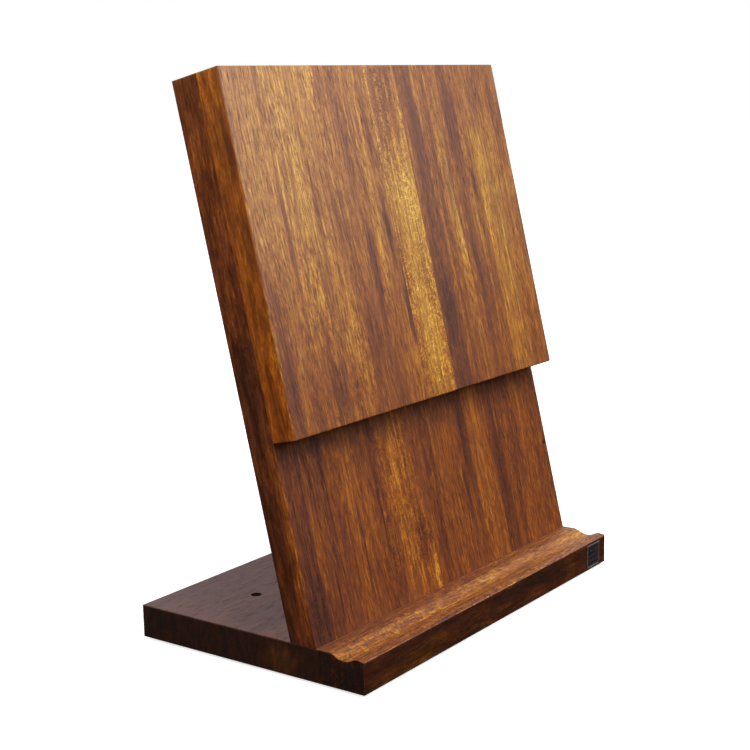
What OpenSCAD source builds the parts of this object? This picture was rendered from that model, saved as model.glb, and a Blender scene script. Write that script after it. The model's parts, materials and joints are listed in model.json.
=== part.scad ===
// Slanted magnetic knife easel in solid wood: a grooved base, a leaning back board and a thicker
// upper panel that hides three rows of magnets behind a thin wooden face.
// X runs along the width, +Y towards the rear, +Z up. The origin is the middle of the base's
// footprint, on the surface that the foot pads stand on.

/* [Overall] */
// Width of the base, the back board and the panel
width = 330; // [300:1:420]
// Lean of the back board from the vertical, in degrees
lean = 13; // [5:0.5:18]
// Radius of the lightly eased edges
ease_r = 1; // [0.8:0.1:2]

/* [Base] */
// Depth of the base, front to rear
base_d = 197; // [185:1:260]
// Thickness of the base
base_h = 24; // [22:0.5:32]
// Distance from the front of the base to the face of the back board
board_setback = 38.5; // [38:0.5:60]
// Height of the front lip's crown below the top of the base
lip_drop = 0.7; // [0.3:0.1:1.5]
// Further fall from the crown to the front edge
lip_fall = 0.6; // [0.3:0.1:1.5]
// Distance from the front of the base to the lip's crown
lip_crown_y = 5.5; // [5:0.5:8]
// Depth of the groove
groove_depth = 3.8; // [2:0.1:6]
// Where the narrow flat at the bottom of the groove begins
groove_front_y = 15; // [12:0.5:16]
// Where the narrow flat at the bottom of the groove ends
groove_rear_y = 17; // [16.5:0.5:20]
// Where the groove has risen to the ledge
ledge_y = 29.5; // [25:0.5:33]
// Diameter of the two anchor holes behind the board
anchor_d = 8; // [5:0.5:10]
// Distance of each anchor hole from the middle
anchor_x = 104; // [60:1:130]
// Distance of the anchor holes from the front of the base
anchor_y = 142; // [120:1:170]

/* [Back board] */
// Thickness of the back board
board_t = 22; // [18:0.5:28]
// Length of the back board up its slope
board_len = 381; // [340:1:420]

/* [Upper panel] */
// Thickness of the upper panel
panel_t = 19; // [18:0.5:24]
// Distance up the slope from the base to the panel's lower edge
panel_start = 137; // [110:1:160]
// Radius of the panel's front edges
panel_ease_r = 1.2; // [1:0.1:4]

/* [Magnets] */
// Wood left in front of the magnets
magnet_cover = 2.5; // [2:0.1:4]
// Number of magnets in a row
magnets_per_row = 7; // [4:1:8]
// Length of one magnet along the row
magnet_len = 30; // [20:1:32]
// Height of a magnet, its steel bar and the slot that holds them
slot_h = 20; // [15:1:25]
// Thickness of a magnet
magnet_t = 10; // [6:0.5:10]
// Thickness of the steel bar behind a row
bar_t = 3; // [2:0.5:4]
// Wood left at each end of a slot
slot_margin = 25; // [20:1:40]
// Distance from the panel's edges to the nearest rows
row_inset = 45; // [35:1:60]

/* [Fastenings and feet] */
// Diameter of the assembly screws
screw_d = 5; // [4:0.5:6]
// Length of the assembly screws under the head
screw_len = 60; // [50:1:70]
// Diameter of the dowels
dowel_d = 8; // [6:0.5:10]
// Diameter of a foot pad
pad_d = 14; // [10:0.5:16]
// Distance that the foot pads stand out below the base
pad_out = 1.5; // [1:0.1:3]

/* [Badge] */
// Width of the badge plate
badge_w = 20; // [15:0.5:30]
// Height of the badge plate
badge_h = 19; // [14:0.5:20]
// Distance from the middle of the base to the badge's left edge
badge_x = 134; // [100:1:138]

/* [Hidden] */
$fn = 64;
half_w = width / 2;
base_z = pad_out;
base_top = base_z + base_h;
front_y = -base_d / 2;
board_y = front_y + board_setback;
panel_len = board_len - panel_start;
reach = 2 * base_d;
cut = 1;

// Glue joints between staves: base joints from its front, board and panel joints from the middle.
base_joints = [0, board_setback - 1.5, 91, 152, base_d];
board_joints = [-half_w, -121, -67, -14.5, 83.5, half_w];
panel_joints = [-half_w, -127, -69, -11, 25.5, 112, half_w];
base_names = ["base_front_rail", "base_middle_stave", "base_rear_stave", "base_back_rail"];
board_names = [for (i = [1 : len(board_joints) - 1]) str("board_stave_", i)];
panel_names = [for (i = [1 : len(panel_joints) - 1]) str("panel_stave_", i)];
base_tones = ["#8a5436", "#6b3f2c", "#5f3a2a", "#66402e"];
board_tones = ["#5a3018", "#6b3718", "#8f5a20", "#63301c", "#6e3b1c"];
panel_tones = ["#9c6a2c", "#a87636", "#8c5230", "#b98235", "#6d4030", "#9a622e"];

// Magnet rows, named by height, with their distances up the slope.
row_names = ["low", "middle", "high"];
rows = len(row_names);
row_gap = (panel_len - 2 * row_inset) / (rows - 1);
row_s = [for (i = [0 : rows - 1]) panel_start + row_inset + i * row_gap];
slot_len = width - 2 * slot_margin;
magnet_y = magnet_cover - panel_t;
bar_y = magnet_y + magnet_t;
filler_y = bar_y + bar_t;
magnet_step = slot_len / magnets_per_row;

// Screws and dowels run up the slope, on the board's middle plane.
screw_xs = [-142, -35, 35, 142];
dowel_xs = [-95, 95];
mid_y = board_t / 2 + 0.5;
seat_s = -13;
head_d = 9.5;
head_h = 3.6;
recess_w = 3;
recess_depth = 2.2;
counterbore_d = 10.5;
hole_play = 0.1;
dowel_low = -14;
dowel_len = 40;
dowel_end_gap = 1;

// Foot pads sit in shallow recesses.
pad_h = 3;
pad_play = 0.4;
pad_inset = 22;
pad_lip_r = 0.8;
pad_names = ["front_left", "front_right", "rear_left", "rear_right"];
pad_places = [for (sy = [-1, 1]) for (sx = [-1, 1])
    [sx * (half_w - pad_inset), sy * (base_d / 2 - pad_inset)]];

// The badge is a shallow tray of metal let into the front rail.
badge_t = 2.6;
badge_recess = 2;
badge_z = base_z + 1.8;
badge_rim = 1.4;
badge_field = 0.4;

// ---- Outline helpers ----

// Points on an arc from angle a0 to a1.
function arc(cx, cy, r, a0, a1, steps = 8) =
    [for (i = [0 : steps]) let (a = a0 + (a1 - a0) * i / steps) [cx + r * cos(a), cy + r * sin(a)]];

// Points on a smooth S-shaped ramp between two levels.
function ramp(y0, z0, y1, z1, steps = 12) =
    [for (i = [0 : steps]) let (t = i / steps)
        [y0 + (y1 - y0) * t, z0 + (z1 - z0) * (1 - cos(180 * t)) / 2]];

// A rectangle from the origin with round corners.
module round_rect(w, h, r) {
    translate([r, 0]) square([w - 2 * r, h]);
    translate([0, r]) square([w, h - 2 * r]);
    for (x = [r, w - r]) {
        for (y = [r, h - r]) translate([x, y]) circle(r);
    }
}

// A block from the origin with every edge rounded.
module eased_block(size, r) {
    intersection() {
        linear_extrude(size[2]) round_rect(size[0], size[1], r);
        translate([0, size[1], 0]) rotate([90, 0, 0]) linear_extrude(size[1])
            round_rect(size[0], size[2], r);
        rotate([90, 0, 90]) linear_extrude(size[0]) round_rect(size[1], size[2], r);
    }
}

// Places children in the back board's frame: its foot's front edge, Z up the slope, Y into the board.
module on_slope() {
    translate([0, board_y, base_top]) rotate([-lean, 0, 0]) children();
}

// ---- Base ----

// Side outline of the base, with the groove and the round lip, from its front lower corner.
module base_outline() {
    top = base_h;
    crown = top - lip_drop;
    brow = crown - lip_fall;
    floor_z = top - groove_depth;
    polygon(concat(
        arc(ease_r, ease_r, ease_r, 180, 270),
        arc(base_d - ease_r, ease_r, ease_r, 270, 360),
        arc(base_d - ease_r, top - ease_r, ease_r, 0, 90),
        ramp(ledge_y, top, groove_rear_y, floor_z),
        ramp(groove_front_y, floor_z, lip_crown_y, crown),
        [for (p = ramp(lip_crown_y, crown, ease_r, brow)) if (p[0] < lip_crown_y) p],
        [for (p = arc(ease_r, brow - ease_r, ease_r, 90, 180)) if (p[0] < ease_r) p]
    ));
}

module base_block() {
    translate([-half_w, front_y, base_z]) intersection() {
        rotate([90, 0, 90]) linear_extrude(width) base_outline();
        linear_extrude(base_h) round_rect(width, base_d, ease_r);
        translate([0, base_d, 0]) rotate([90, 0, 0]) linear_extrude(base_d)
            round_rect(width, base_h, ease_r);
    }
}

// Everything that is drilled or milled into the base.
module base_cuts() {
    on_slope() {
        for (x = screw_xs) translate([x, mid_y, 0]) {
            translate([0, 0, seat_s]) cylinder(h = reach, d = screw_d + hole_play);
            translate([0, 0, seat_s - reach]) cylinder(h = reach, d = counterbore_d);
        }
        for (x = dowel_xs) translate([x, mid_y, dowel_low - dowel_end_gap])
            cylinder(h = reach, d = dowel_d + hole_play);
    }
    for (x = [-anchor_x, anchor_x]) translate([x, front_y + anchor_y, base_z - cut])
        cylinder(h = base_h + 2 * cut, d = anchor_d);
    for (p = pad_places) translate([p[0], p[1], base_z - cut])
        cylinder(h = pad_h - pad_out + cut, d = pad_d + pad_play);
    translate([badge_x, front_y - cut, badge_z])
        cube([badge_w, badge_recess + cut, badge_h]);
}

module base_stave(i) {
    color(base_tones[i]) difference() {
        intersection() {
            base_block();
            translate([-half_w, front_y + base_joints[i], base_z])
                cube([width, base_joints[i + 1] - base_joints[i], base_h]);
        }
        base_cuts();
    }
}

// ---- Back board ----

module board_block() {
    difference() {
        on_slope() difference() {
            intersection() {
                translate([-half_w, -ease_r, -board_t])
                    eased_block([width, board_t + ease_r, board_len + board_t], ease_r);
                translate([-half_w, 0, -board_t]) cube([width, board_t, board_len + board_t]);
            }
            lower_front_easing();
        }
        translate([-reach, -reach, base_top - reach]) cube([2 * reach, 2 * reach, reach]);
    }
}

// Rounds the two front edges of the board below the panel.
module lower_front_easing() {
    for (side = [0, 1]) mirror([side, 0, 0]) translate([-half_w, 0, -board_t])
        linear_extrude(board_t + panel_start) difference() {
            translate([-cut, -cut]) square(ease_r + cut);
            translate([ease_r, ease_r]) circle(ease_r);
        }
}

module board_stave(i) {
    color(board_tones[i]) difference() {
        intersection() {
            board_block();
            on_slope() translate([board_joints[i], -cut, -board_t])
                cube([board_joints[i + 1] - board_joints[i], board_t + 2 * cut, 2 * board_len]);
        }
        on_slope() {
            for (x = screw_xs) translate([x, mid_y, seat_s])
                cylinder(h = screw_len + dowel_end_gap, d = screw_d + hole_play);
            for (x = dowel_xs) translate([x, mid_y, dowel_low])
                cylinder(h = dowel_len + dowel_end_gap, d = dowel_d + hole_play);
        }
    }
}

// ---- Upper panel ----

module panel_block() {
    translate([-half_w, -panel_t, panel_start]) intersection() {
        eased_block([width, panel_t + panel_ease_r, panel_len], panel_ease_r);
        cube([width, panel_t, panel_len]);
    }
}

// A slot milled from the rear for each magnet row.
module magnet_slots() {
    for (s = row_s) translate([-slot_len / 2, magnet_y, s - slot_h / 2])
        cube([slot_len, reach, slot_h]);
}

module panel_stave(i) {
    color(panel_tones[i]) on_slope() difference() {
        intersection() {
            panel_block();
            translate([panel_joints[i], -panel_t - cut, panel_start])
                cube([panel_joints[i + 1] - panel_joints[i], panel_t + 2 * cut, panel_len]);
        }
        magnet_slots();
    }
}

// ---- Magnet rows ----

module magnets(row) {
    color("silver") on_slope() for (k = [0 : magnets_per_row - 1])
        translate([(k + 0.5) * magnet_step - slot_len / 2, magnet_y, row_s[row] - slot_h / 2])
            translate([-magnet_len / 2, 0, 0]) cube([magnet_len, magnet_t, slot_h]);
}

module backing_bar(row) {
    color("dimgray") on_slope() translate([-slot_len / 2, bar_y, row_s[row] - slot_h / 2])
        cube([slot_len, bar_t, slot_h]);
}

module filler_strip(row) {
    color("#a87a4a") on_slope() translate([-slot_len / 2, filler_y, row_s[row] - slot_h / 2])
        cube([slot_len, -filler_y, slot_h]);
}

// ---- Fastenings, feet and badge ----

module assembly_screw() {
    difference() {
        union() {
            translate([0, 0, seat_s]) cylinder(h = screw_len - screw_d, d = screw_d);
            translate([0, 0, seat_s + screw_len - screw_d])
                cylinder(h = screw_d, d1 = screw_d, d2 = 0.8);
            translate([0, 0, seat_s - head_h]) cylinder(h = head_h, d = head_d);
        }
        for (turn = [0, 90]) rotate([0, 0, turn])
            translate([-recess_w, -recess_w / 6, seat_s - head_h - cut])
                cube([2 * recess_w, recess_w / 3, recess_depth + cut]);
    }
}

module assembly_screws() {
    color("gray") on_slope() for (x = screw_xs) translate([x, mid_y, 0]) assembly_screw();
}

module dowels() {
    color("burlywood") on_slope() for (x = dowel_xs) translate([x, mid_y, dowel_low])
        cylinder(h = dowel_len, d = dowel_d);
}

module foot_pad(i) {
    color("#202020") translate([pad_places[i][0], pad_places[i][1], 0]) rotate_extrude()
        polygon(concat(
            [[0, 0]],
            arc(pad_d / 2 - pad_lip_r, pad_lip_r, pad_lip_r, 270, 360),
            [[pad_d / 2, pad_h], [0, pad_h]]
        ));
}

module badge_plate() {
    color("#4a5560") translate([badge_x, front_y + badge_recess - badge_t, badge_z]) difference() {
        cube([badge_w, badge_t, badge_h]);
        translate([badge_rim, -cut, badge_rim])
            cube([badge_w - 2 * badge_rim, badge_field + cut, badge_h - 2 * badge_rim]);
    }
}

// ---- Assembly ----

for (i = [0 : len(base_names) - 1])
    base_stave(i);
for (i = [0 : len(board_names) - 1])
    board_stave(i);
for (i = [0 : len(panel_names) - 1])
    panel_stave(i);
for (i = [0 : rows - 1]) {
    magnets(i);
    backing_bar(i);
    filler_strip(i);
}
assembly_screws();
dowels();
for (i = [0 : len(pad_names) - 1])
    foot_pad(i);
badge_plate();
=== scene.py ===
"""Looks for the slanted magnetic knife easel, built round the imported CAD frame.

Objects, lights and the camera are in metres, in the frame of the CAD model. Materials and the
profiles of small pieces are in millimetres. A place in wood is given along the wood itself: across
the grain, through the board and along the grain.
"""

import json
import math

import bmesh
import bpy
from mathutils import Matrix, Vector


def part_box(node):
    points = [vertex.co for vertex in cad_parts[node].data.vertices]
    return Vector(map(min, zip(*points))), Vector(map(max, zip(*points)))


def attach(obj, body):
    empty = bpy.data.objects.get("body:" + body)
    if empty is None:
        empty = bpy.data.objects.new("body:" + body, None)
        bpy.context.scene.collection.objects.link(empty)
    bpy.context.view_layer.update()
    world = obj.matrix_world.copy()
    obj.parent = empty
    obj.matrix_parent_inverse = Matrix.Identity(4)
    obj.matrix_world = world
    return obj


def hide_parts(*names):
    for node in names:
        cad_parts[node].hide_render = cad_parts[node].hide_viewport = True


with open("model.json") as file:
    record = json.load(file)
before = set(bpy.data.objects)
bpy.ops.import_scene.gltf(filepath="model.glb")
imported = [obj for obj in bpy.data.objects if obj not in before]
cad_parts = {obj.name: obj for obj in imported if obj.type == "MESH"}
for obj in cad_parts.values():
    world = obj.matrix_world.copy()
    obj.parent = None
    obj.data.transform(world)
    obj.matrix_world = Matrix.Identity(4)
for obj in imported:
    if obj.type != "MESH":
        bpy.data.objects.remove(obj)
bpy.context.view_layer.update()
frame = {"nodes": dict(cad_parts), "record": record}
nodes = frame["nodes"]

MM = 1000.0

# The slope: the back board leans towards the rear about the front edge of its foot.
face_mount = next(m for m in frame["record"]["mounts"] if m["name"] == "knife_face")
LEAN = math.asin(face_mount["axis"][2])
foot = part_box("board_stave_1")[0]
FOOT = Vector((0.0, foot.y, foot.z))


# ---- Node building ----


class Tree:
    """Builds a node tree. A value given to a socket is a number, a tuple or another node's output."""

    def __init__(self, tree):
        self.tree = tree
        tree.nodes.clear()

    def add(self, kind, values=None, **settings):
        node = self.tree.nodes.new(kind)
        for key, value in settings.items():
            setattr(node, key, value)
        for socket, value in (values or {}).items():
            self.feed(node.inputs[socket], value)
        return node

    def feed(self, socket, value):
        if isinstance(value, bpy.types.NodeSocket):
            self.tree.links.new(value, socket)
        else:
            socket.default_value = value

    def math(self, operation, *values):
        node = self.add("ShaderNodeMath", operation=operation)
        for socket, value in zip(node.inputs, values):
            self.feed(socket, value)
        return node.outputs[0]

    def plus(self, base, value, weight):
        """base + value * weight."""
        return self.math("ADD", base, self.math("MULTIPLY", value, weight))

    def vector(self, operation, *values):
        node = self.add("ShaderNodeVectorMath", operation=operation)
        for socket, value in zip(node.inputs, values):
            self.feed(socket, value)
        return node.outputs["Value" if operation == "LENGTH" else "Vector"]

    def combine(self, x, y, z):
        return self.add("ShaderNodeCombineXYZ", {0: x, 1: y, 2: z}).outputs[0]

    def split(self, vector):
        return self.add("ShaderNodeSeparateXYZ", {0: vector}).outputs

    def smooth(self, value, low, high, to_low=0.0, to_high=1.0, interpolation="SMOOTHSTEP"):
        """Runs from to_low to to_high as the value runs from low to high, and stays there beyond."""
        node = self.add(
            "ShaderNodeMapRange",
            {"Value": value, "From Min": low, "From Max": high, "To Min": to_low, "To Max": to_high},
            interpolation_type=interpolation,
        )
        return node.outputs["Result"]

    def noise(self, vector, size, detail=2.0, rough=0.5, distortion=0.0):
        """Noise from 0 to 1 whose features are about size long in each direction."""
        scaled = self.vector("DIVIDE", vector, tuple(size))
        values = {"Vector": scaled, "Scale": 1.0, "Detail": detail, "Roughness": rough}
        node = self.add("ShaderNodeTexNoise", {**values, "Distortion": distortion})
        return node.outputs["Fac"]

    def wave(self, *noise_settings):
        """Noise from -0.5 to 0.5."""
        return self.math("SUBTRACT", self.noise(*noise_settings), 0.5)

    def ramp(self, value, stops, interpolation="EASE"):
        """A colour ramp through stops, each (place from 0 to 1, grey level or colour)."""
        node = self.add("ShaderNodeValToRGB", {"Fac": value})
        node.color_ramp.interpolation = interpolation
        elements = node.color_ramp.elements
        while len(elements) > 1:
            elements.remove(elements[-1])
        for index, (place, colour) in enumerate(stops):
            element = elements[0] if index == 0 else elements.new(place)
            element.position = place
            element.color = (*colour, 1.0) if isinstance(colour, tuple) else (colour,) * 3 + (1.0,)
        return node.outputs["Color"]

    def mix(self, factor, a, b, blend="MIX"):
        node = self.add("ShaderNodeMix", data_type="RGBA", blend_type=blend)
        self.feed(node.inputs["Factor"], factor)
        for name, value in (("A", a), ("B", b)):
            socket = next(s for s in node.inputs if s.name == name and s.type == "RGBA")
            self.feed(socket, (*value, 1.0) if isinstance(value, tuple) else value)
        return next(s for s in node.outputs if s.type == "RGBA")

    def stain(self, colour, tint):
        return self.mix(1.0, colour, tint, "MULTIPLY")

    def principled(self, **values):
        """The surface shader. Sockets are named in snake case, such as base_color."""
        named = {key.replace("_", " ").title().replace("Ior", "IOR"): v for key, v in values.items()}
        shader = self.add("ShaderNodeBsdfPrincipled", named)
        self.add("ShaderNodeOutputMaterial", {"Surface": shader.outputs[0]})


def new_material(name):
    material = bpy.data.materials.new(name)
    material.use_nodes = True
    return material, Tree(material.node_tree)


def millimetres(tree):
    """Position in the CAD frame in millimetres."""
    return tree.vector("MULTIPLY", tree.add("ShaderNodeTexCoord").outputs["Object"], (MM, MM, MM))


def srgb(red, green, blue):
    """A linear colour from 8-bit display values."""
    def linear(value):
        value /= 255.0
        return value / 12.92 if value <= 0.04045 else ((value + 0.055) / 1.055) ** 2.4
    return linear(red), linear(green), linear(blue)


# ---- Wood ----

# Colours by tone: 0 is dark brown and 1 is gold, with a little room beyond both.
DARKEST, PALEST = -0.15, 1.35
GOLDEN = (
    (DARKEST, srgb(48, 26, 20)),
    (0.1, srgb(76, 39, 24)),
    (0.3, srgb(106, 58, 28)),
    (0.5, srgb(137, 82, 33)),
    (0.7, srgb(162, 111, 41)),
    (0.9, srgb(188, 146, 58)),
    (PALEST, srgb(234, 194, 98)),
)
RUSSET = (
    (DARKEST, srgb(40, 20, 16)),
    (0.1, srgb(66, 32, 18)),
    (0.3, srgb(97, 47, 20)),
    (0.5, srgb(131, 69, 22)),
    (0.7, srgb(160, 94, 28)),
    (0.9, srgb(188, 124, 40)),
    (PALEST, srgb(220, 166, 74)),
)
# Halfway between golden and russet.
AMBER = tuple(
    (tone, tuple((a + b) / 2.0 for a, b in zip(golden, russet)))
    for (tone, golden), (_, russet) in zip(GOLDEN, RUSSET)
)
PLUM = srgb(97, 54, 41)
PORE = srgb(38, 20, 14)

# Roughness of the oiled surface.
SATIN = 0.42

# Directions in the slope's own frame and in the base's.
UP_SLOPE = Vector((0.0, math.sin(LEAN), math.cos(LEAN)))
OFF_SLOPE = Vector((0.0, -math.cos(LEAN), math.sin(LEAN)))
SIDEWAYS = Vector((1.0, 0.0, 0.0))
FORWARD = Vector((0.0, -1.0, 0.0))
UPWARD = Vector((0.0, 0.0, 1.0))


def slope_place(tree):
    """Position along the slope in millimetres: across, through the board and up from its foot."""
    world = tree.add("ShaderNodeTexCoord").outputs["Object"]
    foot = Matrix.Rotation(LEAN, 3, "X") @ (FOOT * MM)
    mapping = tree.add("ShaderNodeMapping", {"Vector": world, "Scale": (MM, MM, MM)})
    mapping.inputs["Rotation"].default_value = (LEAN, 0.0, 0.0)
    mapping.inputs["Location"].default_value = tuple(-foot)
    return mapping.outputs[0]


def base_place(tree):
    """Position in the base in millimetres: across (from its front), through and along the grain."""
    x, y, z = tree.split(millimetres(tree))
    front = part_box("base_front_rail")[0].y * MM
    return tree.combine(tree.math("SUBTRACT", y, front), z, x)


def facing(tree, direction):
    """How squarely a surface faces along a direction or against it, from 0 to 1."""
    normal = tree.add("ShaderNodeNewGeometry").outputs["True Normal"]
    node = tree.add("ShaderNodeVectorMath", {0: normal, 1: tuple(direction)}, operation="DOT_PRODUCT")
    return tree.math("ABSOLUTE", node.outputs["Value"])


def spots(tree, tone, place, marks):
    """Adds soft-edged marks to the tone. marks is [(centre, half sizes, strength)]; centre and half
    sizes are (across, through, along)."""
    for centre, half, strength in marks:
        near = tree.vector("DIVIDE", tree.vector("SUBTRACT", place, centre), half)
        mask = tree.smooth(tree.vector("LENGTH", near), 1.0, 0.15, 0.0, strength)
        tone = tree.math("ADD", tone, mask)
    return tone


def wandering(tree, point, shifted, sway):
    """Lets the grain wander across the stave by about sway. Returns where to look up noise that
    follows the grain, and where to look up tones, whose edges are frayed as well."""
    wander = tree.wave(shifted, (70, 70, 190), 1.0)
    aside = tree.combine(tree.math("MULTIPLY", wander, sway), 0.0, 0.0)
    grain = tree.vector("ADD", shifted, aside)
    fray = tree.wave(grain, (2.4, 3.0, 26.0), 2.0, 0.6)
    frayed = tree.combine(tree.math("MULTIPLY", fray, 0.6 * sway), 0.0, 0.0)
    return grain, tree.vector("ADD", tree.vector("ADD", point, aside), frayed)


def stave_tone(tree, point, flow, tones, streaks, marks):
    """Tone across the stave, with its single streaks and marks."""
    across, _, along = tree.split(flow)
    first, last = tones[0][0], tones[-1][0]
    share = tree.smooth(across, first, last, interpolation="LINEAR")
    tone = tree.ramp(share, [((a - first) / (last - first), value) for a, value in tones])
    flat = tree.combine(across, 0.0, along)
    tone = spots(tree, tone, flat, [((a, 0, s), (w, 1, h), k) for a, s, w, h, k in streaks])
    return spots(tree, tone, point, marks)


def ribbons(tree, tone, grain, stripe, fine):
    """Adds ribbon stripes, fine streaks and fibres to the tone."""
    layers = (
        ((7.0, 9.0, 260.0), 3.0, 0.6, stripe),
        ((2.6, 3.2, 60.0), 2.0, 0.6, 0.5 * fine),
        ((1.2, 1.5, 12.0), 2.0, 0.7, 0.9 * fine),
    )
    for size, detail, rough, weight in layers:
        tone = tree.plus(tone, tree.wave(grain, size, detail, rough), weight)
    return tone


def interlocked(tree, shifted, grain):
    """Interlocked grain: flecks that lie a little askew, short curls, and how strongly both show."""
    turn = (0.0, math.radians(7.0), 0.0)
    askew = tree.add("ShaderNodeMapping", {"Vector": grain, "Rotation": turn}).outputs[0]
    fleck = tree.wave(askew, (1.8, 2.2, 8.0), 2.0, 0.7, 0.5)
    curl = tree.wave(grain, (4.6, 4.6, 4.0), 1.0, 0.5, 1.5)
    patch = tree.smooth(tree.noise(shifted, (16.0, 16.0, 60.0), 1.0), 0.36, 0.62, 0.35, 1.0)
    return fleck, curl, patch


def figured(tree, tone, fleck, curl, patch, mottle, bee):
    """Adds the flecks and curls of interlocked grain to the tone. Each curl has a dark outline."""
    tone = tree.plus(tone, tree.math("MULTIPLY", fleck, patch), 3.0 * mottle)
    outline = tree.smooth(tree.math("ABSOLUTE", curl), 0.0, 0.07, -0.5, 0.25)
    ripple = tree.plus(outline, curl, 1.2)
    return tree.plus(tone, tree.math("MULTIPLY", ripple, patch), bee)


def wear_and_edge_highlight(tree, shifted, axes):
    """How much lighter the rounded edges are, in patches: partly wear where the oil has rubbed off,
    partly a painted highlight along the edges.
    """
    squarest = facing(tree, axes[0])
    for axis in axes[1:]:
        squarest = tree.math("MAXIMUM", squarest, facing(tree, axis))
    scuff_and_glint = tree.smooth(tree.noise(shifted, (3.0, 3.0, 14.0), 2.0), 0.4, 0.62, 0.0, 0.26)
    return tree.math("MULTIPLY", tree.smooth(squarest, 0.99, 0.85), scuff_and_glint)


def toned(tree, tone, palette):
    """The palette's colour for a tone."""
    reach = PALEST - DARKEST
    stops = [((value - DARKEST) / reach, colour) for value, colour in palette]
    share = tree.math("DIVIDE", tree.math("SUBTRACT", tone, DARKEST), reach)
    return tree.ramp(share, stops, "LINEAR")


def facing_tint(tree, colour, grain, faces, middle):
    """Tints the faces square to each direction, in clouds, and hides some of their grain. The tint is
    painted light that brightens the slope's sides, and partly painted shade on the base's front and
    back.
    """
    cloud = tree.smooth(tree.noise(grain, (7.0, 5.0, 26.0), 3.0, 0.65), 0.36, 0.64, 0.6, 1.32)
    for direction, tint, evenness in faces:
        plain = tree.mix(evenness, colour, middle)
        tinted = tree.stain(tree.stain(plain, cloud), tint)
        colour = tree.mix(tree.smooth(facing(tree, direction), 0.7, 0.98), colour, tinted)
    return colour


def end_stain_and_shade(tree, colour, shifted, end_grain):
    """Darkens end grain in faint rings: partly the oil it drinks in more than the faces do, partly
    painted shade, as deep as the shade on the base's ends.
    """
    rings = tree.noise(shifted, (4.5, 14.0, 300.0), 3.0, 0.6)
    drunk_and_shaded = tree.mix(tree.smooth(rings, 0.36, 0.66), (0.14, 0.122, 0.122), (0.335, 0.267, 0.235))
    return tree.mix(end_grain, colour, tree.stain(colour, drunk_and_shaded))


def wood(name, place, axes, seed, tones, palette=GOLDEN, streaks=(), marks=(), mottle=0.3, bee=0.0,
         fade=(0.0, 1.0, 0.0), stripe=0.5, fine=1.0, sway=14.0, plum=0.5, faces=(), shine=0.5,
         ruddy=False):
    """Oiled hardwood with ribbon stripes, flecks and pores.

    axes are the directions along the grain, off the face and across, and seed gives a stave noise
    of its own. tones is [(across, tone)], streaks is [(across, along, half width, half length,
    strength)] and marks is as spots takes. faces is [(direction, colour, evenness)] for faces that
    are tinted, as painted light on the slope's sides and partly painted shade on the base: it
    multiplies their colour and, as evenness goes to 1, hides the grain.
    stripe is the strength of ribbon stripes, fine that of streaks and fibres, mottle that of long
    flecks, bee that of curls and plum that of purplish shade. fade is (low end, high end, change of
    tone at the low end), along the grain, and ruddy makes the low end redder too. shine is the
    specular level."""
    material, tree = new_material(name)
    point = place(tree)
    shifted = tree.vector("ADD", point, (173.0 * seed, 61.0 * seed, 389.0 * seed))
    grain, flow = wandering(tree, point, shifted, sway)
    fleck, curl, patch = interlocked(tree, shifted, grain)

    # Tone, from the broadest features to the finest.
    tone = stave_tone(tree, point, flow, tones, streaks, marks)
    low_end, high_end, change = fade
    rise = tree.smooth(tree.split(flow)[2], low_end, high_end)
    tone = tree.plus(tone, tree.math("SUBTRACT", 1.0, rise), change)
    tone = ribbons(tree, tone, grain, stripe, fine)
    tone = figured(tree, tone, fleck, curl, patch, mottle, bee)
    # Rounded edges are lightened: partly wear, partly a painted highlight.
    tone = tree.math("ADD", tone, wear_and_edge_highlight(tree, shifted, axes))

    # Dark flecks and some streaks lean towards plum, and pores are short dark dashes.
    vein = tree.smooth(tree.noise(grain, (2.6, 3.2, 75.0), 2.0, 0.6), 0.48, 0.64)
    dim = tree.smooth(tree.math("ADD", fleck, curl), 0.0, -0.25)
    shade = tree.math("MULTIPLY", tree.math("MAXIMUM", vein, dim), plum)
    colour = tree.mix(shade, toned(tree, tone, palette), PLUM)
    # A redder, less blue low end; on the panel it is partly painted shade, where less sheen falls.
    if ruddy:
        colour = tree.stain(colour, tree.mix(rise, (1.05, 0.91, 0.58), (1.0, 1.0, 1.0)))
    pore = tree.smooth(tree.noise(grain, (0.9, 0.9, 10.0), 1.0), 0.56, 0.70)
    colour = tree.mix(tree.math("MULTIPLY", pore, 0.5), colour, PORE)
    # Whole faces are tinted here: painted light on the slope's sides, partly painted shade on the
    # base's front and back.
    colour = facing_tint(tree, colour, grain, faces, middle=palette[len(palette) // 2][1])
    end_grain = tree.smooth(facing(tree, axes[0]), 0.35, 0.8)
    # End grain is darkened: partly oil, partly painted shade.
    colour = end_stain_and_shade(tree, colour, shifted, end_grain)

    # Pores and end grain are rougher, and so is dark wood.
    relief = tree.math("SUBTRACT", tree.math("MULTIPLY", fleck, 0.35), pore)
    bump = tree.add("ShaderNodeBump", {"Height": relief, "Strength": 0.35, "Distance": 0.0001})
    rough = tree.plus(SATIN, tree.math("MAXIMUM", pore, end_grain), 0.2)
    rough = tree.plus(rough, tree.math("SUBTRACT", 0.5, tone), 0.1)
    tree.principled(
        base_color=colour, roughness=rough, specular_ior_level=shine, normal=bump.outputs[0]
    )
    return material


def dress(node, material):
    """Gives a CAD node one material."""
    for slot in nodes[node].material_slots:
        slot.link = "OBJECT"
        slot.material = material


# In the board and the panel, across is from the middle of the width, through is back from the
# board's front face and along is up the slope from the board's foot. In the base, across runs back
# from its front, through is the height above the worktop and along is from the middle of the width.
# A mark on a side, end or front is centred 1 mm outside it, so that it hardly shows on the faces
# next to it.
LEFT, FRONT = -166, -1

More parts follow.
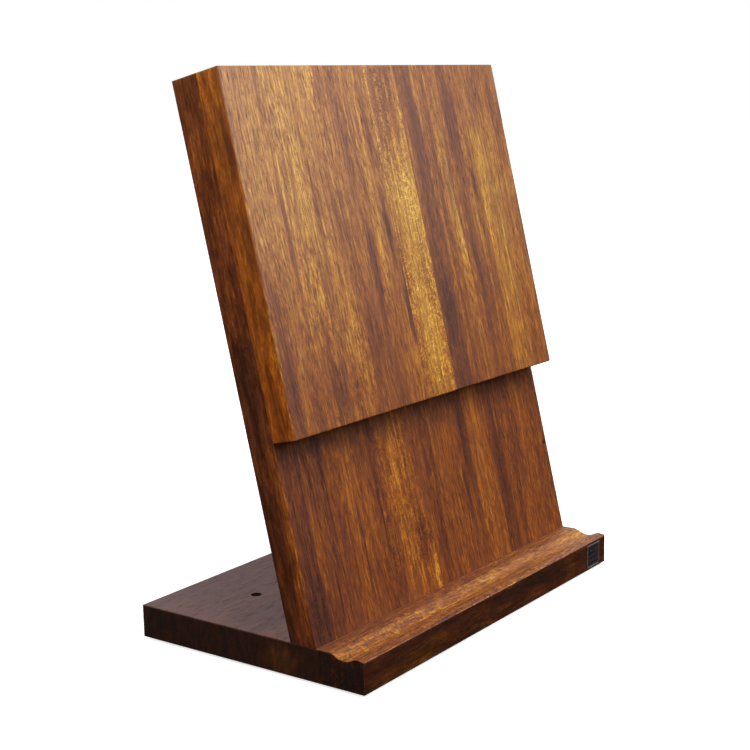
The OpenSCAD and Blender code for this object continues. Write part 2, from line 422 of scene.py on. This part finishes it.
PANEL = {
    1: dict(
        tones=[(-165, 0.5), (-150, 0.59), (-138, 0.62), (-127, 0.53)],
        streaks=[
            (-128, 270, 3, 70, -0.22),
            (-146, 330, 12, 50, 0.1),
            (-155, 200, 12, 60, -0.14),
            (-158, 160, 12, 40, -0.16),
            (-136, 150, 10, 34, -0.18),
            (-148, 165, 4, 30, 0.1),
        ],
        marks=[
            ((LEFT, -16, 330), (3, 6, 40), -0.3),
            ((LEFT, -14, 350), (3, 8, 50), 0.08),
            ((LEFT, -4, 290), (3, 7, 40), -0.25),
            ((LEFT, -17, 200), (3, 4, 50), 0.22),
            ((LEFT, -15, 165), (3, 8, 60), 0.18),
            ((LEFT, -17, 340), (3, 6, 70), -0.2),
            ((LEFT, -18, 250), (3, 5, 40), -0.25),
        ],
        mottle=0.36,
    ),
    2: dict(
        tones=[(-127, 0.62), (-112, 0.66), (-95, 0.62), (-80, 0.6), (-69, 0.58)],
        streaks=[
            (-94, 290, 5, 34, -0.24),
            (-76, 278, 6, 40, -0.28),
            (-108, 300, 8, 60, 0.12),
            (-110, 190, 4, 40, -0.18),
            (-84, 190, 9, 40, 0.12),
            (-110, 160, 14, 40, -0.3),
            (-78, 370, 7, 30, 0.14),
        ],
        mottle=0.4,
        bee=0.12,
    ),
    3: dict(
        tones=[(-69, 0.5), (-55, 0.5), (-42, 0.52), (-28, 0.62), (-11, 0.58)],
        streaks=[
            (-44, 236, 5, 52, -0.34),
            (-20, 261, 5, 40, -0.46),
            (-13, 206, 4.5, 46, -0.46),
            (-34, 250, 7, 45, 0.2),
            (-21, 338, 5.5, 50, -0.3),
            (-62, 320, 5, 50, 0.14),
            (-46, 330, 12, 60, -0.08),
            (-60, 190, 14, 40, -0.14),
            (-17, 170, 5, 18, 0.2),
        ],
        mottle=0.34,
    ),
    4: dict(
        tones=[(-11, 0.66), (0, 0.72), (14, 0.78), (25.5, 0.8)],
        streaks=[
            (5, 355, 18, 75, -0.34),
            (20, 365, 12, 75, -0.3),
            (18, 270, 8, 50, 0.06),
            (8, 175, 18, 60, 0.2),
            (-8, 230, 4, 40, -0.14),
        ],
        mottle=0.24,
        bee=0.55,
    ),
    5: dict(
        tones=[
            (25.5, 0.34), (36, 0.3), (48, 0.34), (56, 0.44), (70, 0.64),
            (86, 0.44), (98, 0.56), (112, 0.56),
        ],
        streaks=[
            (27, 260, 2, 120, 0.14),
            (38, 200, 10, 44, -0.2),
            (41, 330, 9, 60, -0.1),
            (51, 360, 5, 40, 0.3),
            (61, 315, 3, 44, -0.28),
            (73, 262, 5, 65, 0.26),
            (85, 240, 3.5, 70, -0.25),
            (97, 250, 4, 36, 0.2),
            (103, 288, 5, 24, -0.34),
            (88, 200, 3.5, 34, -0.25),
            (90, 340, 16, 70, -0.26),
            (66, 370, 10, 50, -0.12),
            (66, 170, 16, 40, 0.04),
            (107, 180, 4, 40, 0.12),
        ],
        mottle=0.3,
        plum=0.6,
    ),
    6: dict(
        tones=[(112, 0.66), (125, 0.68), (140, 0.68), (152, 0.6), (165, 0.54)],
        streaks=[
            (114, 265, 4, 45, 0.2),
            (129, 260, 2.5, 70, -0.12),
            (135, 210, 8, 50, 0.1),
            (148, 180, 7, 40, -0.12),
            (155, 340, 10, 60, -0.2),
            (130, 370, 30, 70, -0.27),
        ],
        mottle=0.3,
    ),
}

BOARD = {
    1: dict(
        tones=[(-165, 0.24), (-150, 0.3), (-135, 0.36), (-121, 0.32)],
        streaks=[
            (-122, 110, 1.3, 40, -0.5),
            (-129, 25, 1.5, 30, -0.38),
            (-136, 112, 3, 30, -0.25),
            (-150, 60, 6, 60, -0.1),
            (-140, 60, 5, 40, 0.12),
            (-152, 10, 16, 60, -0.22),
        ],
        marks=[
            ((LEFT, 11, 300), (5, 20, 150), 0.24),
            ((LEFT, 14, 335), (3, 4, 40), 0.14),
            ((LEFT, 6, 350), (3, 4, 30), -0.12),
            ((LEFT, 12, 262), (3, 10, 26), -0.16),
            ((LEFT, 8, 200), (3, 8, 30), -0.2),
            ((LEFT, 12, 170), (3, 14, 60), -0.35),
            ((LEFT, 20, 60), (3, 6, 120), -0.3),
            ((LEFT, 3, 70), (3, 7, 110), 0.4),
            ((LEFT, 9, 60), (3, 1.5, 60), -0.2),
        ],
        mottle=0.35,
    ),
    2: dict(
        tones=[(-121, 0.4), (-108, 0.42), (-98, 0.48), (-85, 0.46), (-67, 0.3)],
        streaks=[
            (-92, 55, 2.5, 50, -0.3),
            (-104, 40, 3, 40, -0.2),
            (-80, 70, 7, 40, 0.14),
            (-97, 90, 6, 30, 0.1),
            (-68, 75, 4, 60, -0.22),
        ],
        mottle=0.3,
    ),
    3: dict(
        tones=[(-67, 0.3), (-57, 0.48), (-42, 0.58), (-25, 0.52), (-14.5, 0.5)],
        streaks=[
            (-30, 40, 10, 30, -0.24),
            (-19, 14, 5, 26, 0.3),
            (-46, 100, 7, 40, 0.14),
            (-20, 100, 6, 30, -0.16),
            (-60, 30, 4, 40, -0.1),
        ],
        mottle=0.3,
        bee=0.3,
    ),
    4: dict(
        tones=[
            (-14.5, 0.38), (-2, 0.34), (8, 0.44), (20, 0.46), (34, 0.4),
            (50, 0.38), (60, 0.56), (74, 0.54), (83.5, 0.46),
        ],
        streaks=[
            (3, 90, 4, 50, -0.25),
            (-1, 40, 4, 40, -0.18),
            (13, 70, 4, 55, 0.18),
            (24, 100, 6, 30, 0.1),
            (47, 95, 7, 44, -0.3),
            (40, 60, 4, 30, -0.2),
            (62, 22, 3, 16, -0.25),
            (66, 120, 9, 30, 0.12),
        ],
        mottle=0.3,
    ),
    5: dict(
        tones=[(83.5, 0.28), (98, 0.3), (112, 0.38), (128, 0.44), (145, 0.44), (165, 0.4)],
        streaks=[
            (97, 110, 2.5, 30, 0.25),
            (102, 95, 2, 20, -0.2),
            (90, 60, 5, 50, -0.12),
            (113, 100, 5, 40, 0.12),
            (121, 90, 4, 60, -0.14),
            (131, 100, 3, 40, 0.2),
            (146, 80, 6, 40, -0.1),
            (157.5, 72, 3.5, 2.5, -0.5),
        ],
        mottle=0.3,
    ),
}

# The base rails' front and back faces are tinted darker: partly the wood's own colour, partly painted
# shade.
BASE_FACES = [(FORWARD, (0.3, 0.24, 0.208), 0.2)]
# Behind its front rail the base has low, even tones and little figure.
FAINT = dict(palette=RUSSET, fine=0.3, mottle=0.08, stripe=0.3, plum=0.12, shine=0.42)
BASE = {
    "base_front_rail": dict(
        tones=[
            (0, 0.5), (6, 0.51), (10, 0.61), (16, 0.63), (21, 0.59), (25.5, 0.57), (27.5, 0.45),
            (37, 0.41),
        ],
        marks=[
            ((FRONT, 21, -80), (3, 6, 80), -0.36),
            ((FRONT, 17, 30), (3, 7, 80), -0.6),
            ((FRONT, 12, 90), (3, 16, 90), -0.25),
            ((FRONT, 5, -115), (3, 14, 80), 0.46),
            ((FRONT, 7, 60), (3, 8, 30), 0.12),
            ((FRONT, 10, 108), (3, 14, 12), 0.4),
            ((14, 10, LEFT), (26, 18, 5), -0.3),
        ],
        palette=AMBER,
        fade=(-165, 165, -0.18),
        stripe=0.3,
        mottle=0.26,
        bee=0.42,
        shine=0.36,
        faces=BASE_FACES,
    ),
    "base_middle_stave": dict(
        tones=[(37, 0.36), (91, 0.34)],
        marks=[((70, 12, LEFT), (22, 16, 8), 0.55)],
        **FAINT,
    ),
    "base_rear_stave": dict(tones=[(91, 0.28), (152, 0.3)], **FAINT),
    "base_back_rail": dict(tones=[(152, 0.26), (197, 0.28)], faces=BASE_FACES, **FAINT),
}

slope_axes = (UP_SLOPE, OFF_SLOPE, SIDEWAYS)
base_axes = (SIDEWAYS, UPWARD, FORWARD)
# On the panel's sides the tint is partly the russet hue of that grain and partly painted light that
# brightens them.
PANEL_FACES = [(SIDEWAYS, (1.62, 1.31, 0.6), 0.32)]
# On the board's sides the tint is painted light: it brightens them evenly.
BOARD_FACES = [(SIDEWAYS, (1.25, 1.27, 1.36), 0.15)]
# From the panel's lower end up. The lower panel is darker, and with ruddy also redder and less blue:
# partly the wood's own tone, partly painted shade where the sheen lights the upper panel more.
PANEL_FADE = (137, 300, -0.14)
for index, figure in PANEL.items():
    look = wood(
        f"panel_wood_{index}", slope_place, slope_axes, index,
        faces=PANEL_FACES, fade=PANEL_FADE, ruddy=True, shine=0.42, **figure
    )
    dress(f"panel_stave_{index}", look)
for index, figure in BOARD.items():
    look = wood(
        f"board_wood_{index}", slope_place, slope_axes, index + 10, palette=RUSSET, shine=0.25,
        faces=BOARD_FACES, **figure
    )
    dress(f"board_stave_{index}", look)
for index, (name, figure) in enumerate(BASE.items()):
    dress(name, wood(f"{name}_wood", base_place, base_axes, index + 20, sway=3.0, **figure))


# ---- Other materials ----

BARE = (
    (DARKEST, srgb(120, 86, 54)),
    (0.3, srgb(168, 128, 84)),
    (0.7, srgb(200, 162, 114)),
    (PALEST, srgb(228, 196, 150)),
)


def metal(name, dark, pale, rough, brush):
    """Metal with fine brushing and blotches; brush is the size of a scratch in millimetres."""
    material, tree = new_material(name)
    point = millimetres(tree)
    scratch = tree.noise(point, brush, 3.0, 0.7)
    blotch = tree.noise(point, (4.0, 4.0, 4.0), 2.0)
    share = tree.smooth(tree.plus(tree.math("MULTIPLY", scratch, 0.6), blotch, 0.4), 0.3, 0.7)
    colour = tree.mix(share, dark, pale)
    bump = tree.add("ShaderNodeBump", {"Height": scratch, "Strength": 0.3, "Distance": 0.00005})
    roughness = tree.smooth(blotch, 0.3, 0.7, rough - 0.08, rough + 0.08)
    tree.principled(base_color=colour, metallic=1.0, roughness=roughness, normal=bump.outputs[0])
    return material


def badge_metal():
    """Burnished dark metal: the tops of its diamonds are rubbed and its rim is bright. They are told
    apart by how far they lie behind the badge's highest point."""
    material, tree = new_material("badge_burnish")
    point = millimetres(tree)
    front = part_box("badge_plate")[0].y * MM
    depth = tree.math("SUBTRACT", tree.split(point)[1], front)
    blotch = tree.noise(point, (1.6, 1.6, 1.6), 3.0, 0.7)
    field = tree.mix(tree.smooth(blotch, 0.35, 0.65), srgb(32, 28, 31), srgb(98, 87, 91))
    rubbed = tree.mix(tree.smooth(depth, 0.42, 0.26), field, srgb(112, 102, 108))
    rim = tree.mix(tree.smooth(blotch, 0.3, 0.7), srgb(140, 122, 118), srgb(204, 190, 186))
    colour = tree.mix(tree.smooth(depth, 0.16, 0.06), rubbed, rim)
    roughness = tree.smooth(blotch, 0.3, 0.7, 0.32, 0.5)
    tree.principled(base_color=colour, metallic=0.85, roughness=roughness)
    return material


def rubber():
    """Matt moulded rubber with a faint bloom."""
    material, tree = new_material("pad_rubber_matt")
    point = millimetres(tree)
    bloom = tree.noise(point, (3.0, 3.0, 3.0), 3.0)
    pebble = tree.noise(point, (0.3, 0.3, 0.3), 1.0)
    colour = tree.mix(tree.smooth(bloom, 0.35, 0.7), srgb(30, 30, 31), srgb(52, 51, 50))
    bump = tree.add("ShaderNodeBump", {"Height": pebble, "Strength": 0.3, "Distance": 0.00005})
    tree.principled(base_color=colour, roughness=0.75, normal=bump.outputs[0])
    return material


def bare_wood(name, seed):
    """Planed wood without oil, of an even tone."""
    tones = [(-165, 0.5), (165, 0.55)]
    return wood(name, slope_place, slope_axes, seed, tones, palette=BARE, plum=0.1, shine=0.3)


NICKEL = metal("nickel_plate", srgb(176, 172, 166), srgb(214, 211, 205), 0.25, (1.5, 1.5, 1.5))
MILD_STEEL = metal("mild_steel", srgb(96, 98, 102), srgb(142, 143, 146), 0.45, (12.0, 0.4, 0.4))
ZINC = metal("zinc_plate", srgb(150, 153, 158), srgb(198, 200, 204), 0.32, (1.0, 1.0, 1.0))
for level in ("low", "middle", "high"):
    dress(f"magnets_{level}", NICKEL)
    dress(f"backing_bar_{level}", MILD_STEEL)
    dress(f"filler_strip_{level}", bare_wood(f"filler_{level}", 31))
dress("assembly_screws", ZINC)
dress("dowels", bare_wood("dowel_beech", 32))


# ---- Pieces shaped here ----


def crisp_edges(mesh, angle):
    """Keeps edges sharper than an angle, in degrees, crisp under smooth shading."""
    limit = math.radians(angle)
    edit = bmesh.new()
    edit.from_mesh(mesh)
    bmesh.ops.recalc_face_normals(edit, faces=edit.faces)
    for edge in edit.edges:
        edge.smooth = edge.is_manifold and edge.calc_face_angle(0.0) < limit
    edit.to_mesh(mesh)
    edit.free()


def add_piece(name, vertices, faces, material, node, crisp):
    """A mesh piece in metres that stands for a CAD node. crisp is as crisp_edges takes."""
    mesh = bpy.data.meshes.new(name)
    mesh.from_pydata(vertices, [], faces)
    mesh.materials.append(material)
    mesh.update()
    mesh.shade_smooth()
    crisp_edges(mesh, crisp)
    piece = bpy.data.objects.new(name, mesh)
    bpy.context.collection.objects.link(piece)
    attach(piece, "root")
    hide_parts(node)


def band(ring, next_ring):
    """The faces between two closed rings of vertices."""
    count = len(ring)
    return [
        (ring[i], ring[(i + 1) % count], next_ring[(i + 1) % count], next_ring[i])
        for i in range(count)
    ]


# Widths of the badge's bead and of the fall from it to the field, and the field's depth.
BEAD, FALL, SUNK = 1.3, 0.35, 0.36


def badge_relief(from_edge, across, up):
    """How far the badge's face lies behind its highest point, in millimetres: a round bead along
    the rim and a field of small diamonds."""
    if from_edge < BEAD:
        share = 2.0 * from_edge / BEAD - 1.0
        return SUNK * (1.0 - math.sqrt(1.0 - share * share))
    fallen = min((from_edge - BEAD) / FALL, 1.0)
    pitch = 4.0
    diamonds = math.cos(2.0 * math.pi * across / pitch) + math.cos(2.0 * math.pi * up / pitch)
    return SUNK - 0.07 * diamonds * fallen


def graded(length):
    """Grid lines along a side of the badge: close together where its bead curves, then even."""
    near = [0.0, 0.02, 0.08, 0.19, 0.35, 0.5, 0.65, 0.8, 0.95, 1.11, 1.22, 1.28, 1.3, 1.42, 1.53]
    field = length - 2.0 * (BEAD + FALL)
    count = round(field / 0.3)
    middle = [BEAD + FALL + field * i / count for i in range(count + 1)]
    return near + middle + [length - value for value in reversed(near)]


def make_badge():
    """A face with a bead and a field, and a wall that runs back from its border to a flat rear."""
    low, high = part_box("badge_plate")
    size = (high - low) * MM
    xs, zs = graded(size.x), graded(size.z)
    vertices = []
    for z in zs:
        for x in xs:
            from_edge = min(x, size.x - x, z, size.z - z)
            behind = badge_relief(from_edge, x - size.x / 2.0, z - size.z / 2.0)
            vertices.append((low.x + x / MM, low.y + behind / MM, low.z + z / MM))
    rows = [range(row * len(xs), (row + 1) * len(xs)) for row in range(len(zs))]
    faces = [
        (lower[i], lower[i + 1], upper[i + 1], upper[i])
        for lower, upper in zip(rows, rows[1:])
        for i in range(len(xs) - 1)
    ]
    border = [*rows[0], *(row[-1] for row in rows[1:])]
    border += [*reversed(rows[-1][:-1]), *(row[0] for row in reversed(rows[1:-1]))]
    rear = range(len(vertices), len(vertices) + len(border))
    vertices += [(vertices[i][0], high.y, vertices[i][2]) for i in border]
    faces += band(rear, border)
    faces.append(tuple(rear))
    add_piece("badge", vertices, faces, badge_metal(), "badge_plate", crisp=40.0)


def pad_profile(radius, height):
    """The depth of a pad's dimple, and its profile from there outwards and up as (radius, height) in
    millimetres: the dimple, its rounded brim, a flat ring to stand on, a rounded edge and a wall."""
    lip, dimple, brim, hollow = 0.8, 3.4, 0.8, 0.35
    profile = [(dimple * i / 4, hollow) for i in range(1, 5)]
    for i in range(1, 7):
        profile.append((dimple + brim * i / 6, hollow * (1 + math.cos(math.pi * i / 6)) / 2))
    for i in range(7):
        turn = math.radians(-90.0 + 15.0 * i)
        profile.append((radius - lip + lip * math.cos(turn), lip + lip * math.sin(turn)))
    profile.append((radius, height))
    return hollow, profile


def make_pad(name, material):
    """A moulded foot, turned from its profile."""
    low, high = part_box(name)
    hollow, profile = pad_profile((high.x - low.x) / 2.0 * MM, (high.z - low.z) * MM)
    centre = (low + high) / 2.0
    steps = 64
    turns = [2.0 * math.pi * i / steps for i in range(steps)]
    vertices = [(centre.x, centre.y, low.z + hollow / MM)]
    for radius, up in profile:
        for turn in turns:
            x = centre.x + radius / MM * math.cos(turn)
            y = centre.y + radius / MM * math.sin(turn)
            vertices.append((x, y, low.z + up / MM))
    rings = [range(1 + i * steps, 1 + (i + 1) * steps) for i in range(len(profile))]
    faces = [(0, rings[0][(i + 1) % steps], rings[0][i]) for i in range(steps)]
    for ring, next_ring in zip(rings, rings[1:]):
        faces += band(ring, next_ring)
    faces.append(tuple(rings[-1]))
    add_piece(f"{name}_moulded", vertices, faces, material, name, crisp=50.0)


make_badge()
pad_material = rubber()
for side in ("front_left", "front_right", "rear_left", "rear_right"):
    make_pad(f"foot_pad_{side}", pad_material)


# ---- Floor, light and camera ----


def make_floor():
    """Pale paper that glows a little, so that it stays white to the horizon and keeps soft shadows.
    It lies just below the pads, which would otherwise share its plane."""
    mesh = bpy.data.meshes.new("floor")
    half = 12.0
    below = -0.0002
    corners = [(-half, -half, below), (half, -half, below), (half, half, below), (-half, half, below)]
    mesh.from_pydata(corners, [], [(0, 1, 2, 3)])
    floor = bpy.data.objects.new("floor", mesh)
    bpy.context.collection.objects.link(floor)
    material, tree = new_material("floor_paper")
    away = tree.vector("LENGTH", tree.add("ShaderNodeTexCoord").outputs["Object"])
    tree.principled(
        base_color=(0.8, 0.8, 0.8, 1.0), roughness=0.9, specular_ior_level=0.1,
        emission_color=(1.0, 1.0, 1.0, 1.0), emission_strength=tree.smooth(away, 0.5, 1.5, 0.7, 1.1)
    )
    mesh.materials.append(material)
    floor.visible_diffuse = False
    floor.visible_glossy = False


def soft_light(name, place, aim, size, power, colour=(1.0, 1.0, 1.0)):
    """A rectangular lamp at a place that points at aim."""
    data = bpy.data.lights.new(name, "AREA")
    data.shape = "RECTANGLE"
    data.size, data.size_y = size
    data.energy = power
    data.color = colour
    light = bpy.data.objects.new(name, data)
    light.location = place
    light.rotation_mode = "QUATERNION"
    light.rotation_quaternion = (Vector(aim) - Vector(place)).to_track_quat("-Z", "Y")
    bpy.context.collection.objects.link(light)


def make_world():
    """White paper to the camera. To everything else it is a dim room above a dark floor, with a
    bright, slightly cool wall behind on the right."""
    world = bpy.data.worlds.new("studio")
    world.use_nodes = True
    tree = Tree(world.node_tree)
    paper = tree.add("ShaderNodeBackground", {"Color": (1.0, 1.0, 1.0, 1.0), "Strength": 1.0})
    side, depth, height = tree.split(tree.add("ShaderNodeTexCoord").outputs["Generated"])
    window = tree.math("ADD", tree.math("MULTIPLY", side, 0.6), tree.math("MULTIPLY", depth, 0.8))
    behind = tree.smooth(window, -0.1, 0.75, 0.13, 0.72)
    strength = tree.math("MULTIPLY", behind, tree.smooth(height, 0.0, 0.3, 0.05, 1.0))
    cool = tree.mix(tree.smooth(window, 0.0, 0.7), (1.0, 0.98, 0.95), (0.93, 0.99, 1.12))
    room = tree.add("ShaderNodeBackground", {"Color": cool, "Strength": strength})
    seen = tree.add("ShaderNodeLightPath").outputs["Is Camera Ray"]
    both = tree.add("ShaderNodeMixShader", {0: seen, 1: room.outputs[0], 2: paper.outputs[0]})
    tree.add("ShaderNodeOutputWorld", {"Surface": both.outputs[0]})
    bpy.context.scene.world = world


def make_camera():
    """Stands at the left front, nearly as high as the easel's top, and looks slightly down."""
    data = bpy.data.cameras.new("camera")
    data.sensor_width = 36.0
    data.lens = 72.2
    data.clip_start, data.clip_end = 0.05, 60.0
    camera = bpy.data.objects.new("camera", data)
    bpy.context.collection.objects.link(camera)
    turn, tilt, roll = math.radians(-53.749), math.radians(90.0 - 10.945), math.radians(-1.178)
    aim = Matrix.Rotation(turn, 4, "Z") @ Matrix.Rotation(tilt, 4, "X") @ Matrix.Rotation(roll, 4, "Z")
    camera.matrix_world = Matrix.Translation((-0.8913, -0.6446, 0.3873)) @ aim
    bpy.context.scene.camera = camera


make_floor()
make_world()
make_camera()
soft_light("key", (0.1, -0.64, 1.24), (0.0, 0.0, 0.28), (1.1, 0.85), 22.0)
soft_light("fill", (-0.9, -1.4, 0.45), (0.0, 0.0, 0.2), (1.2, 0.8), 4.5, (1.0, 0.95, 0.9))
soft_light("sheen", (1.1, -1.45, 1.1), (0.0, 0.0, 0.35), (0.8, 0.8), 13.0)
soft_light("rear", (0.4, 1.6, 0.5), (0.0, 0.0, 0.25), (1.2, 1.2), 9.0)
soft_light("side", (-1.2, 0.3, 1.1), (0.0, 0.0, 0.3), (0.8, 0.8), 9.5, (1.0, 0.88, 0.7))
bpy.context.scene.view_settings.view_transform = "Standard"
